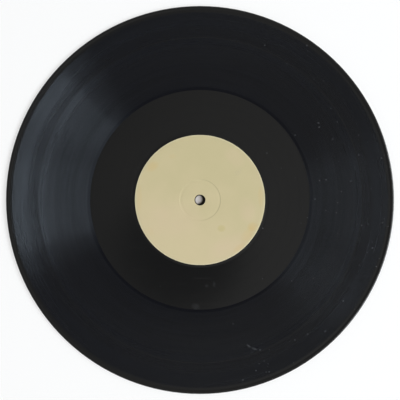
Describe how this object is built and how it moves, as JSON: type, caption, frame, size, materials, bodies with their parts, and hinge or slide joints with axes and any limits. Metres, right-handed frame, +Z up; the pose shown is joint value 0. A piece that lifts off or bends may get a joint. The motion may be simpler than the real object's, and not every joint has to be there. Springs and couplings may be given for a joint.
{
  "type": "long-playing vinyl record",
  "caption": "Twelve-inch black vinyl record with a raised rim, fine spiral grooves on both sides, blank cream paper labels and a spindle hole.",
  "frame": {"origin": "centre of the spindle hole, on the plane that the record lies on, which touches the flat crown of the raised rim and the label of side B", "axes": "+Z up along the spindle hole, towards side A; +X points to where each winding groove begins and ends; turned over about X the record is the same"},
  "size_m": [0.3016, 0.3016, 0.0021],
  "materials": {
    "black_vinyl": "gloss",
    "label_paper": "matte"
  },
  "bodies": {
    "root": {"vinyl_disc": "black_vinyl", "label_side_a": "label_paper", "label_side_b": "label_paper"}
  },
  "joints": []
}
